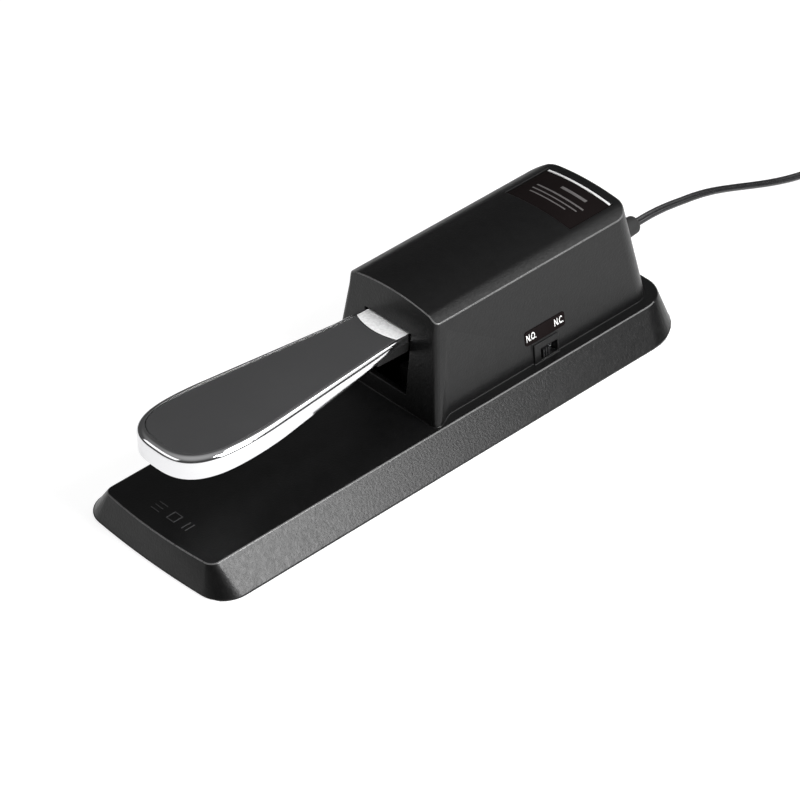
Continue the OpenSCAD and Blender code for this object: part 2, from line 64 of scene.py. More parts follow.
def make_camera():
    """Camera fitted to the photo: it looks at a target from an angle, rolled a little."""
    az, el, roll = (math.radians(a) for a in (CAM_AZIMUTH, CAM_ELEVATION, CAM_ROLL))
    back = Vector((math.cos(el) * math.sin(az), -math.cos(el) * math.cos(az), math.sin(el)))
    level = Vector((math.cos(az), math.sin(az), 0))
    upright = level.cross(-back)
    right = level * math.cos(roll) + upright * math.sin(roll)
    up = upright * math.cos(roll) - level * math.sin(roll)
    data = bpy.data.cameras.new("camera")
    data.lens = CAM_LENS
    data.sensor_width = 36
    data.clip_end = 20
    cam = bpy.data.objects.new("camera", data)
    cam.matrix_world = Matrix.Translation(CAM_TARGET + back * CAM_DISTANCE) @ Matrix(
        (right, up, back)).transposed().to_4x4()
    scene.collection.objects.link(cam)
    scene.camera = cam


make_camera()


# ---------------------------------------------------------------- mesh helpers
WELD_DISTANCE = 2e-6
FLAT_ANGLE = math.radians(0.6)


def share(value):
    """Holds a value between 0 and 1."""
    return min(1, max(0, value))


def new_object(name, verts, faces, body):
    mesh = bpy.data.meshes.new(name)
    mesh.from_pydata([tuple(v) for v in verts], [], faces)
    mesh.update()
    obj = bpy.data.objects.new(name, mesh)
    scene.collection.objects.link(obj)
    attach(obj, body)
    return obj


def tidy(obj, merge=1e-6):
    """Joins doubled points and points every face outwards."""
    bm = bmesh.new()
    bm.from_mesh(obj.data)
    bmesh.ops.remove_doubles(bm, verts=bm.verts, dist=merge)
    bmesh.ops.recalc_face_normals(bm, faces=bm.faces)
    bm.to_mesh(obj.data)
    bm.free()


def smooth(obj, angle, weighted=True):
    """Smooth shading with creases above an angle."""
    limit = math.radians(angle)
    bm = bmesh.new()
    bm.from_mesh(obj.data)
    for f in bm.faces:
        f.smooth = True
    for e in bm.edges:
        e.smooth = not (len(e.link_faces) == 2 and e.calc_face_angle(0) > limit)
    bm.to_mesh(obj.data)
    bm.free()
    if weighted:
        mod = obj.modifiers.new("normals", "WEIGHTED_NORMAL")
        mod.keep_sharp = True


def drop_custom_normals(mesh):
    for a in [a for a in mesh.attributes if a.name == "custom_normal"]:
        mesh.attributes.remove(a)


def skin(name, node, body, width, highlight_pick=None):
    """Copy of a CAD node with joined flat faces and rolled edges; it stands for the node.
    Rolled edges that are picked by place get the second finish, a lighter grey that paints a
    highlight on them."""
    mesh = nodes[node].data.copy()
    mesh.name = name
    bm = bmesh.new()
    bm.from_mesh(mesh)
    bmesh.ops.remove_doubles(bm, verts=bm.verts, dist=WELD_DISTANCE)
    bmesh.ops.dissolve_limit(bm, angle_limit=FLAT_ANGLE, verts=bm.verts, edges=bm.edges)
    bmesh.ops.triangulate(bm, faces=[f for f in bm.faces if len(f.verts) > 4])
    sharp = math.radians(28)
    edges = [e for e in bm.edges if len(e.link_faces) == 2 and e.calc_face_angle(0) > sharp]
    rolled = bmesh.ops.bevel(bm, geom=edges, offset=width, offset_type="OFFSET", segments=3,
                             profile=0.5, affect="EDGES", clamp_overlap=False)
    for f in rolled["faces"]:
        if highlight_pick and highlight_pick(f.calc_center_median() / MM):
            f.material_index = 1
    bm.to_mesh(mesh)
    bm.free()
    drop_custom_normals(mesh)
    obj = bpy.data.objects.new(name, mesh)
    scene.collection.objects.link(obj)
    smooth(obj, 40)
    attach(obj, body)
    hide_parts(node)
    return obj


def soften(node, width):
    """Rolled edges on a carried-over CAD node, by modifiers only."""
    obj = nodes[node]
    weld = obj.modifiers.new("weld", "WELD")
    weld.merge_threshold = WELD_DISTANCE
    flat = obj.modifiers.new("flat", "DECIMATE")
    flat.decimate_type = "DISSOLVE"
    flat.angle_limit = FLAT_ANGLE
    edges = obj.modifiers.new("edges", "BEVEL")
    edges.width = width
    edges.segments = 2
    edges.limit_method = "ANGLE"
    edges.angle_limit = math.radians(30)
    for p in obj.data.polygons:
        p.use_smooth = False


LATHE_STEPS = 72


def lathe(name, profile, centre, axis, body):
    """Turned piece: (radius, distance along axis) pairs in mm around a centre in mm."""
    steps = LATHE_STEPS
    axis = Vector(axis).normalized()
    side = axis.orthogonal().normalized()
    other = axis.cross(side)
    centre = Vector(centre)
    verts, faces = [], []
    for r, d in profile:
        for k in range(steps):
            a = 2 * math.pi * k / steps
            verts.append((centre + axis * d + (side * math.cos(a) + other * math.sin(a)) * r) * MM)
    for i in range(len(profile) - 1):
        for k in range(steps):
            j = (k + 1) % steps
            faces.append([i * steps + k, i * steps + j, (i + 1) * steps + j, (i + 1) * steps + k])
    obj = new_object(name, verts, faces, body)
    tidy(obj)
    smooth(obj, 40)
    return obj


def catmull(points, per_span):
    """Smooth curve through points."""
    pts = [Vector(p) for p in points]
    ends = [pts[0] * 2 - pts[1]] + pts + [pts[-1] * 2 - pts[-2]]
    out = []
    for i in range(1, len(ends) - 2):
        p0, p1, p2, p3 = ends[i - 1:i + 3]
        for k in range(per_span):
            t = k / per_span
            out.append(0.5 * (2 * p1 + (p2 - p0) * t + (2 * p0 - 5 * p1 + 4 * p2 - p3) * t * t
                              + (3 * p1 - p0 - 3 * p2 + p3) * t ** 3))
    out.append(ends[-2])
    return out


# ---------------------------------------------------------------- lead
LEAD_WIDTH = 4.0
STRAND_R = LEAD_WIDTH / 4
GROOVE = 0.3            # depth left at the web, as a share of a strand's radius
FLOOR_GAP = 0.06
ROLL_FROM_Y = 226       # from here on the flat lead turns on edge
ROLL_LENGTH = 50
SPAN_STEPS = 4
LEAD_ROUTE = [
    (0, 130, 24), (0, 137, 24.1), (0, 144, 23.7), (0, 150, 22.9), (0, 157, 21.7), (0, 164, 20.4),
    (0, 172, 18.3), (0.1, 180, 15.6), (0.4, 188, 12.7), (0.8, 196, 9.8), (1.3, 204, 7.1),
    (1.8, 212, 4.8), (2.3, 220, 3), (2.8, 228, 1.8), (3.2, 236, 1.2), (3.6, 244, 1.1),
    (4, 252, 1.3), (4.3, 260, 1.7), (4.6, 270, 2), (4.7, 280, 2.1)]
TAIL_ROUTE = [(63.3, 280, 6.2), (63.5, 274, 6.1), (64.1, 268, 5.9), (65, 262, 5.6),
              (65.7, 257, 5.5), (66, 252, 5.5)]
COIL_CENTRE = (34, 280)
COIL_OUTER_R = 29.3
COIL_INNER_R = 18.75
COIL_TURNS = 10.5
COIL_LOW_Z = 2.1
COIL_HIGH_Z = 6.2
COIL_STEPS = 44
LAYER_STEP_AT = 0.485   # share of the coil at which the lead climbs to its upper layer
LAYER_STEP_LENGTH = 0.03
INNER_TURN = 1.03       # makes the innermost turn last a little


def lead_path():
    """Centreline in mm and how far the section is rolled on edge there, from 0 to 1."""
    path = []
    for p in catmull(LEAD_ROUTE, SPAN_STEPS):
        roll = share((p.y - ROLL_FROM_Y) / ROLL_LENGTH)
        lowest = STRAND_R * (1 + math.sin(roll * math.pi / 2)) + FLOOR_GAP
        path.append((Vector((p.x, p.y, max(p.z, lowest))), roll))
    steps = int(COIL_TURNS * COIL_STEPS)
    for i in range(1, steps):
        t = i / steps
        a = math.pi - 2 * math.pi * COIL_TURNS * t
        half = 1 - abs(2 * t - 1)
        r = COIL_OUTER_R + (COIL_INNER_R - COIL_OUTER_R) * min(1, half * INNER_TURN)
        rise = share((t - LAYER_STEP_AT) / LAYER_STEP_LENGTH)
        rise = rise * rise * (3 - 2 * rise)
        z = COIL_LOW_Z + (COIL_HIGH_Z - COIL_LOW_Z) * rise
        x, y = COIL_CENTRE[0] + r * math.cos(a), COIL_CENTRE[1] + r * math.sin(a)
        path.append((Vector((x, y, z)), 1))
    path += [(p, 1) for p in catmull(TAIL_ROUTE, SPAN_STEPS)]
    return path


def lead_section():
    """Two round strands side by side with a web between them."""
    out = []
    for side in (1, -1):
        for k in range(7):
            a = math.radians(-135 + 45 * k)
            out.append((side * STRAND_R + side * STRAND_R * math.cos(a),
                        side * STRAND_R * math.sin(a)))
        out.append((0, side * STRAND_R * GROOVE))
    return out


def make_lead():
    """The whole lead as one tube of its section, and the points that it follows."""
    path = lead_path()
    section = lead_section()
    n = len(section)
    verts, faces = [], []
    for i, (p, roll) in enumerate(path):
        ahead = (path[min(i + 1, len(path) - 1)][0] - path[max(i - 1, 0)][0]).normalized()
        across = Vector((ahead.y, -ahead.x, 0)).normalized()
        up = across.cross(ahead)
        a = roll * math.pi / 2
        wide = across * math.cos(a) + up * math.sin(a)
        thick = up * math.cos(a) - across * math.sin(a)
        verts += [(p + wide * u + thick * v) * MM for u, v in section]
    for i in range(len(path) - 1):
        for k in range(n):
            j = (k + 1) % n
            faces.append([i * n + k, i * n + j, (i + 1) * n + j, (i + 1) * n + k])
    faces.append(list(range(n))[::-1])
    faces.append([(len(path) - 1) * n + k for k in range(n)])
    lead = new_object("lead", verts, faces, "base")
    bm = bmesh.new()
    bm.from_mesh(lead.data)
    bmesh.ops.recalc_face_normals(bm, faces=bm.faces)
    bm.to_mesh(lead.data)
    bm.free()
    smooth(lead, 48, weighted=False)
    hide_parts("lead_tube", "lead_coil", "lead_tail")
    return lead, [p * MM for p, roll in path]


PLUG_AT = (66, 252, 5.5)


def make_plug_handle():
    """Moulded handle: a ribbed bend guard, a shoulder and a grip with fine rings."""
    profile = [(0, 0), (2.7, 0), (3.0, 0.3), (3.1, 0.9)]
    for i in range(5):
        d = 1.6 + 2.3 * i
        r = 3.15 + 0.16 * i
        profile += [(r, d), (r - 0.55, d + 0.35), (r - 0.55, d + 1.0), (r + 0.1, d + 1.35)]
    profile += [(3.9, 13.2), (4.5, 14.2), (5.0, 15.0), (5.25, 16.2)]
    for i in range(12):
        d = 17.4 + 1.7 * i
        profile += [(5.3, d), (5.05, d + 0.3), (5.05, d + 0.7), (5.3, d + 1.0)]
    profile += [(5.3, 39.4), (5.15, 41.2), (4.85, 42.2), (4.4, 42.6), (0, 42.6)]
    handle = lathe("plug_grip", profile, PLUG_AT, (0, -1, 0), "base")
    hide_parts("plug_handle")
    return handle


def make_tie():
    """Band round the coil that holds its turns."""
    low, high = COIL_INNER_R - 1.55, COIL_OUTER_R + 1.5
    top = COIL_HIGH_Z + 2.35
    half_width, thick = 2.0, 0.45
    loop = [(low, 1.0), (low, top - 0.9), (low + 0.9, top), (high - 0.9, top), (high, top - 0.9),
            (high, 1.0), (high - 0.7, FLOOR_GAP), (low + 0.7, FLOOR_GAP)]
    verts, faces = [], []
    cx = sum(p[0] for p in loop) / len(loop)
    cz = sum(p[1] for p in loop) / len(loop)
    n = len(loop)
    for x in (-half_width, half_width):
        for t in (0, thick):
            for out, z in loop:
                d = Vector((cx - out, cz - z)).normalized() * t
                verts.append(Vector((COIL_CENTRE[0] + x, COIL_CENTRE[1] + out + d.x,
                                     max(z + d.y, 0.04))) * MM)
    for k in range(n):
        j = (k + 1) % n
        o0, i0, o1, i1 = k, n + k, 2 * n + k, 3 * n + k
        o2, i2, o3, i3 = j, n + j, 2 * n + j, 3 * n + j
        faces += [[o0, o2, o3, o1], [i0, i1, i3, i2], [o0, i0, i2, o2], [o1, o3, i3, i1]]
    tie = new_object("coil_tie", verts, faces, "base")
    tidy(tie)
    smooth(tie, 40)
    return tie


lead, lead_line = make_lead()
plug_grip = make_plug_handle()
coil_tie = make_tie()

# ---------------------------------------------------------------- housing and lever
ROOF_EDGE_Z = 52.8
RECESS_HW, RECESS_FRONT, RECESS_BACK = 18.6, 79, 102.8
RIM_LOW, RIM_HIGH = 11.4, 12.05
RIM_HW, RIM_TOE, RIM_REAR = 31, -113, 116


def painted_highlight_edges(p):
    """The roof's edges and the rim of the base's top, which get a painted highlight: their rolled
    edges are given a lighter grey.
    """
    in_recess = abs(p.x) < RECESS_HW and RECESS_FRONT < p.y < RECESS_BACK
    roof = p.z > ROOF_EDGE_Z and not in_recess
    rim = RIM_LOW < p.z < RIM_HIGH and (abs(p.x) > RIM_HW or p.y < RIM_TOE or p.y > RIM_REAR)
    return roof or rim


# the rolled roof and rim edges get the lighter second finish, a painted highlight
housing = skin("housing_skin", "housing", "base", 0.38 * MM, painted_highlight_edges)

PIVOT = Vector((0, 86, 27.9))
REST_TILT = math.radians(2.53)


def lever_point(x, v, h):
    """Point of the lever from mm: x across, v from the pin to the toe, h above the pin."""
    c, s = math.cos(REST_TILT), math.sin(REST_TILT)
    return Vector((x, PIVOT.y - v * c + h * s, PIVOT.z + v * s + h * c)) * MM


def rounded_side(points, rounds):
    """Cuts the corners of an open line, keeping its ends."""
    for _ in range(rounds):
        out = [points[0]]
        for a, b in zip(points[:-1], points[1:]):
            out += [(a[0] * 0.75 + b[0] * 0.25, a[1] * 0.75 + b[1] * 0.25),
                    (a[0] * 0.25 + b[0] * 0.75, a[1] * 0.25 + b[1] * 0.75)]
        out.append(points[-1])
        points = out
    return points


FLARE_V = 157           # distances from the pin: where the sides start to flare,
WIDE_V = 170            # and where the spoon is at its widest
TOE_STEPS = 40


def spoon_half(neck_v, sizes, power):
    """Right half outline: (half width, distance from the pin), neck first, tip last."""
    neck_hw, flare_hw, wide, run = sizes
    side = [(neck_hw, neck_v)]
    side += [(neck_hw + (flare_hw - neck_hw) * t, neck_v + (FLARE_V - neck_v) * t)
             for t in (0.5, 0.85)]
    side += [(flare_hw, FLARE_V), (flare_hw + (wide - flare_hw) * 0.72, FLARE_V + 6.5),
             (wide, WIDE_V)]
    side = rounded_side(side, 3)[:-1]
    toe = []
    for i in range(TOE_STEPS + 1):
        a = math.radians(i * 90 / TOE_STEPS)
        toe.append((wide * max(math.cos(a), 0) ** (2 / power),
                    WIDE_V + run * math.sin(a) ** (2 / power)))
    return side + toe


def whole(half):
    """Adds the mirrored half to a right half outline."""
    return half + [(-x, v) for x, v in reversed(half[:-1])]


# half widths at the neck, at the flare and at the widest place, and the toe's run past that place
SHELL_SIZES = (12.05, 21, 21.9, 28.7)
INLAY_SIZES = (11.4, 18.4, 19.1, 24.8)
SHELL_POWER, INLAY_POWER = 2.8, 3.0     # roundness of the toe: 2 is an ellipse
NECK_X = -1.0
SHELL_REAR_V = 79
INLAY_REAR_V = 90
NECK_LENGTH = FLARE_V - INLAY_REAR_V
BACK_STEPS = 6
BACK_BOW = 2.2
SHOULDER_FADE_V, SHOULDER_FADE_LENGTH = 84, 16
# share of the step in that is used at the rear end, at the neck, and more towards the toe
STEP_REAR, STEP_NECK, STEP_GROWTH = 0.12, 0.66, 0.3


def leant(points):
    """Leans an outline sideways at its neck, so that it runs into the slot's middle."""
    return [(x + NECK_X * share((FLARE_V - v) / NECK_LENGTH), v) for x, v in points]


def shell_outline(t):
    """Outline a distance t inside the shell's. The step in fades out towards the neck, where the
    top strip is flat to its edges."""
    half = spoon_half(SHELL_REAR_V, SHELL_SIZES, SHELL_POWER)
    inner = spoon_half(SHELL_REAR_V, [size - t for size in SHELL_SIZES], SHELL_POWER)
    out = []
    for (x0, v0), (x1, v1) in zip(half, inner):
        rim = STEP_NECK + STEP_GROWTH * share((v0 - INLAY_REAR_V) / NECK_LENGTH)
        fade = share((v0 - SHOULDER_FADE_V) / SHOULDER_FADE_LENGTH)
        k = STEP_REAR + (rim - STEP_REAR) * fade
        out.append((x0 + (x1 - x0) * k, v0 + (v1 - v0) * k))
    return leant(whole(out))


def inlay_outline(t):
    """Outline a distance t inside the inlay's. It starts at the middle of its bowed rear edge."""
    half = spoon_half(INLAY_REAR_V + t, [size - t for size in INLAY_SIZES], INLAY_POWER)
    w, rear = half[0]
    back = [(w * (1 - k / BACK_STEPS), rear + BACK_BOW * (1 - (1 - k / BACK_STEPS) ** 2))
            for k in range(BACK_STEPS, 0, -1)]
    full = back + half
    return leant(full + [(-x, v) for x, v in reversed(full[1:-1])])


SKIRT_LINE = ((101, 9.2), (102, 9.0), (104.4, 7.7), (113.5, 6.9), (125, 6.1), (137, 5.1),
              (153.5, 3.7), (198.7, 2.4))


def skirt_low(v):
    """Height of the skirt's lower edge: a slant at the neck, then nearly level to the toe."""
    if v <= SKIRT_LINE[0][0]:
        return SKIRT_LINE[0][1]
    for (v0, h0), (v1, h1) in zip(SKIRT_LINE[:-1], SKIRT_LINE[1:]):
        if v <= v1:
            return h0 + (h1 - h0) * (v - v0) / (v1 - v0)
    return SKIRT_LINE[-1][1]


def bridge(faces, a, b, n, closed=True):
    """Faces between two rings of n points that start at a and b."""
    for k in range(n if closed else n - 1):
        j = (k + 1) % n
        faces.append([a + k, a + j, b + j, b + k])


SHOULDER_FOOT = 9.4
SHOULDER_W, SHOULDER_H, SHOULDER_STEPS = 2.5, 2.4, 10
SHELL_TOP = SHOULDER_FOOT + SHOULDER_H
SKIRT_THICK = 1.35
CEILING = 9.2
RECESS_RIM, RECESS_WALL, RECESS_FLOOR = 11.78, 11.5, 10.4


def make_spoon():
    """Chromed shell: rounded shoulder, flat rim, recess for the inlay and an open underside."""
    rings = []

    def ring(t, height):
        rings.append([lever_point(x, v, height(v)) for x, v in shell_outline(t)])

    def wall_foot(v):
        return min(skirt_low(v) + 0.35, SHOULDER_FOOT - 0.05)

    ring(SKIRT_THICK, lambda v: skirt_low(v) + 0.3)
    ring(0.95, lambda v: skirt_low(v) + 0.02)
    ring(0.35, lambda v: skirt_low(v) + 0.02)
    ring(0.0, wall_foot)
    ring(0.0, lambda v: (wall_foot(v) + SHOULDER_FOOT) / 2)
    ring(0.0, lambda v: SHOULDER_FOOT)
    for k in range(1, SHOULDER_STEPS + 1):
        a = math.pi / 2 * k / SHOULDER_STEPS
        ring(SHOULDER_W * (1 - math.cos(a)), lambda v: SHOULDER_FOOT + SHOULDER_H * math.sin(a))
    n = len(rings[0])
    count = len(rings)
    verts = [p for r in rings for p in r]
    faces = []
    for i in range(count - 1):
        bridge(faces, i * n, (i + 1) * n, n)
    rim = [lever_point(x, v, RECESS_RIM) for x, v in inlay_outline(-0.12)]
    wall = [lever_point(x, v, RECESS_WALL) for x, v in inlay_outline(0.0)]
    bottom = [lever_point(x, v, RECESS_FLOOR) for x, v in inlay_outline(0.0)]
    base = len(verts)
    m = len(rim)
    verts += rim + wall + bottom
    bridge(faces, base, base + m, m)
    bridge(faces, base + m, base + 2 * m, m)
    faces.append([base + 2 * m + k for k in range(m)])
    bridge(faces, (count - 1) * n, base + BACK_STEPS, n, closed=False)
    strip = [count * n - 1, (count - 1) * n] + [base + k for k in range(BACK_STEPS, -1, -1)]
    faces.append(strip + [base + k for k in range(m - 1, m - 1 - BACK_STEPS, -1)])
    strip_ends = [lever_point(0, v, SHELL_TOP) for v in (SHELL_REAR_V, INLAY_REAR_V)]
    strip_middle = (strip_ends[0] + strip_ends[1]) / 2
    under = [lever_point(x, v, CEILING) for x, v in shell_outline(SKIRT_THICK)]
    start = len(verts)
    verts += under
    bridge(faces, start, 0, n)
    faces.append([start + k for k in range(n)][::-1])
    spoon = new_object("lever_spoon", verts, faces, "lever")
    tidy(spoon, 1e-5)
    smooth(spoon, 42)
    for poly in spoon.data.polygons:
        if poly.normal.z > 0.9 and (poly.center - strip_middle).length < 9 * MM:
            poly.material_index = 1
    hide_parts("lever_shell")
    return spoon


def make_inlay():
    """Satin insert with a softly rolled edge."""
    rings = [(0.08, RECESS_FLOOR + 0.02), (0.08, 11.25), (0.16, 11.45), (0.36, 11.58),
             (0.7, 11.62)]
    verts, faces = [], []
    for inside, height in rings:
        verts += [lever_point(x, v, height) for x, v in inlay_outline(inside)]
    n = len(verts) // len(rings)
    for i in range(len(rings) - 1):
        bridge(faces, i * n, (i + 1) * n, n)
    faces.append(list(range(n))[::-1])
    faces.append([(len(rings) - 1) * n + k for k in range(n)])
    inlay = new_object("lever_insert", verts, faces, "lever")
    tidy(inlay)
    smooth(inlay, 42)
    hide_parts("lever_inlay")
    return inlay


spoon = make_spoon()
inlay = make_inlay()


def make_spring():
    """Return spring: a smooth-shaded copy of the CAD node's coil, with a mesh of its own, on the
    base.
    """
    mesh = nodes["return_spring"].data.copy()
    mesh.name = "spring_coil"
    drop_custom_normals(mesh)
    spring = bpy.data.objects.new("spring_coil", mesh)
    scene.collection.objects.link(spring)
    tidy(spring)
    smooth(spring, 60, weighted=False)
    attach(spring, "base")
    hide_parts("return_spring")
    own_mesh(spring)
    return spring


spring = make_spring()
arm = skin("lever_arm_skin", "lever_arm", "lever", 0.3 * MM)

# ---------------------------------------------------------------- labels and marks
BASE_TOP_Z = 12
TOWER_FOOT_HW, TOWER_TOP_HW, TOWER_TOP_Z = 27, 25.2, 53.4
SIDE_TILT = math.atan2(TOWER_FOOT_HW - TOWER_TOP_HW, TOWER_TOP_Z - BASE_TOP_Z)
LABEL_Y, LABEL_Z = 56.6, 24.8


def side_frame(lift):
    """Local frame on the tower's right side: X along the pedal, Y up the face, Z outwards."""
    x = TOWER_FOOT_HW - (LABEL_Z - BASE_TOP_Z) * math.tan(SIDE_TILT)
    up = Vector((-math.sin(SIDE_TILT), 0, math.cos(SIDE_TILT)))
    along = Vector((0, 1, 0))
    out = along.cross(up)
    origin = (Vector((x, LABEL_Y, LABEL_Z)) + out * lift) * MM
    return Matrix.Translation(origin) @ Matrix((along, up, out)).transposed().to_4x4()


MARK_SIZE = 4.5
MARK_ALONG = 7.2
MARK_NARROWING = 0.56
MARK_LIFT = 0.25


def text_piece(name, words, place, body):
    """Small printed mark, as a thin mesh."""
    curve = bpy.data.curves.new(name, "FONT")
    curve.body = words
    curve.size = MARK_SIZE * MM
    curve.align_x = "CENTER"
    curve.align_y = "CENTER"
    curve.extrude = 0.02 * MM
    curve.offset = 0.05 * MM
    temp = bpy.data.objects.new(name + "_curve", curve)
    scene.collection.objects.link(temp)
    bpy.context.view_layer.update()
    solid = temp.evaluated_get(bpy.context.evaluated_depsgraph_get())
    mesh = bpy.data.meshes.new_from_object(solid)
    bpy.data.objects.remove(temp)
    obj = bpy.data.objects.new(name, mesh)
    obj.matrix_world = place
    scene.collection.objects.link(obj)
    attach(obj, body)
    return obj


def bars(name, boxes, place, thick, body):
    """Flat raised lines: (x0, y0, x1, y1) in mm in a local frame."""
    verts, faces = [], []
    for x0, y0, x1, y1 in boxes:
        b = len(verts)
        for z in (0, thick):
            verts += [place @ (Vector((x, y, z)) * MM) for x, y in
                      ((x0, y0), (x1, y0), (x1, y1), (x0, y1))]
        faces += [[b, b + 3, b + 2, b + 1], [b + 4, b + 5, b + 6, b + 7]]
        for k in range(4):
            j = (k + 1) % 4
            faces.append([b + k, b + j, b + 4 + j, b + 4 + k])
    return new_object(name, verts, faces, body)


marks = []
for name, words, along in (("mark_open", "N.O.", -MARK_ALONG),
                           ("mark_closed", "N.C.", MARK_ALONG)):
    place = side_frame(MARK_LIFT) @ Matrix.Translation(Vector((along, 0, 0)) * MM)
    place = place @ Matrix.Diagonal((MARK_NARROWING, 1, 1, 1))
    marks.append(text_piece(name, words, place, "base"))

ROOF_CROWN = 57.4
ROOF_HW, ROOF_RISE = 21.2, 2
ROOF_R = (ROOF_HW ** 2 + ROOF_RISE ** 2) / (2 * ROOF_RISE)
RECESS_DROP = 0.58
LABEL_BACK, LABEL_HW = 102.0, 18.0
ROOF_BARS = ((-4, 95.2, 10, 96.6), (-13, 91.0, 13, 91.8), (-13, 88.6, 12, 89.2),
             (-12, 86.3, 8, 86.9))
BAR_LIFT = 0.03
TRIM_LIFT = 0.25


def roof_z(x, drop):
    """Height of the crowned roof, or of a surface a distance below it, at x."""
    r = ROOF_R - drop
    return ROOF_CROWN - ROOF_R + math.sqrt(r * r - x * x)


def roof_bar(verts, faces, x0, y0, x1, y1, lift):
    """Thin printed line that follows the crowned label."""
    steps = max(1, int(abs(x1 - x0) / 1.5))
    b = len(verts)
    for i in range(steps + 1):
        x = x0 + (x1 - x0) * i / steps
        z = roof_z(x, RECESS_DROP - lift)
        verts += [Vector((x, y0, z)) * MM, Vector((x, y1, z)) * MM,
                  Vector((x, y0, z - lift * 2)) * MM, Vector((x, y1, z - lift * 2)) * MM]
    for i in range(steps):
        p, q = b + 4 * i, b + 4 * i + 4
        faces += [[p, q, q + 1, p + 1], [p + 2, p + 3, q + 3, q + 2],
                  [p, p + 2, q + 2, q], [p + 1, q + 1, q + 3, p + 3]]
    p = b + 4 * steps
    faces += [[b, b + 1, b + 3, b + 2], [p, p + 2, p + 3, p + 1]]


def make_roof_print():
    """Plain printed bars in place of the photo's words."""
    verts, faces = [], []
    for box in ROOF_BARS:
        roof_bar(verts, faces, *box, BAR_LIFT)
    obj = new_object("roof_print", verts, faces, "base")
    tidy(obj)
    return obj


def make_roof_trim():
    """Bright edge of the roof plate, at the rear of its recess."""
    verts, faces = [], []
    roof_bar(verts, faces, -LABEL_HW + 0.6, LABEL_BACK - 1.1, LABEL_HW - 0.6, LABEL_BACK - 0.1,
             TRIM_LIFT)
    obj = new_object("roof_trim", verts, faces, "base")
    tidy(obj)
    return obj


roof_print = make_roof_print()
roof_trim = make_roof_trim()

# raised marks on the toe end of the base: three bars, a square and two bars, all plain; their
# lighter grey is a painted highlight on their edges
MARKS_FRAME = Matrix.Translation(Vector((-11.5, -106.3, BASE_TOP_Z)) * MM)
MARKS_HEIGHT = 0.22
RAISED_BARS = ((0, 1.95, 4.6, 2.3), (0, -0.18, 4.6, 0.17), (0, -2.3, 4.6, -1.95),
               (9, -2.3, 9.35, 2.3), (13.25, -2.3, 13.6, 2.3), (9.35, 1.95, 13.25, 2.3),
               (9.35, -2.3, 13.25, -1.95), (18, -2.3, 18.35, 2.3), (20.2, -2.3, 20.55, 2.3))
mould_marks = bars("mould_marks", RAISED_BARS, MARKS_FRAME, MARKS_HEIGHT, "base")


# ---------------------------------------------------------------- materials
def node(tree, kind, **values):
    """New shader node with values set on its sockets."""
    n = tree.nodes.new(kind)
    for socket, value in values.items():
        n.inputs[socket].default_value = value
    return n


def finish_material(name, base, rough, metal=0.0, grain=900, bump=0.1, depth=0.05, var=0.12,
                    blotch=45, rough_var=0.06, stretch=(1, 1, 1), specular=0.5, coat=0.0):
    """Principled finish with fine grain in the surface, uneven colour and uneven gloss."""
    mat = bpy.data.materials.new(name)
    mat.use_nodes = True
    tree = mat.node_tree
    shader = tree.nodes["Principled BSDF"]
    shader.inputs["Metallic"].default_value = metal
    shader.inputs["Specular IOR Level"].default_value = specular
    shader.inputs["Coat Weight"].default_value = coat
    coord = node(tree, "ShaderNodeTexCoord")
    mapping = node(tree, "ShaderNodeMapping", Scale=stretch)
    tree.links.new(coord.outputs["Object"], mapping.inputs["Vector"])

    def noise(scale, detail):
        n = node(tree, "ShaderNodeTexNoise", Scale=scale, Detail=detail, Roughness=0.6)
        tree.links.new(mapping.outputs[0], n.inputs["Vector"])
        return n

    fine = noise(grain, 3)
    broad = noise(blotch, 4)
    tint = node(tree, "ShaderNodeValToRGB")
    tint.color_ramp.elements[0].position = 0.3
    tint.color_ramp.elements[1].position = 0.7
    tint.color_ramp.elements[0].color = [c * (1 - var) for c in base] + [1]
    tint.color_ramp.elements[1].color = [min(1, c * (1 + var)) for c in base] + [1]
    tree.links.new(broad.outputs["Fac"], tint.inputs["Fac"])
    tree.links.new(tint.outputs["Color"], shader.inputs["Base Color"])
    gloss = node(tree, "ShaderNodeMapRange")
    gloss.inputs["From Min"].default_value = 0.3
    gloss.inputs["From Max"].default_value = 0.7
    gloss.inputs["To Min"].default_value = max(0.02, rough - rough_var)
    gloss.inputs["To Max"].default_value = min(1, rough + rough_var)
    wear = noise(blotch * 3, 5)
    tree.links.new(wear.outputs["Fac"], gloss.inputs["Value"])
    tree.links.new(gloss.outputs["Result"], shader.inputs["Roughness"])
    relief = node(tree, "ShaderNodeBump", Strength=bump, Distance=depth * MM)
    tree.links.new(fine.outputs["Fac"], relief.inputs["Height"])
    tree.links.new(relief.outputs["Normal"], shader.inputs["Normal"])
    return mat


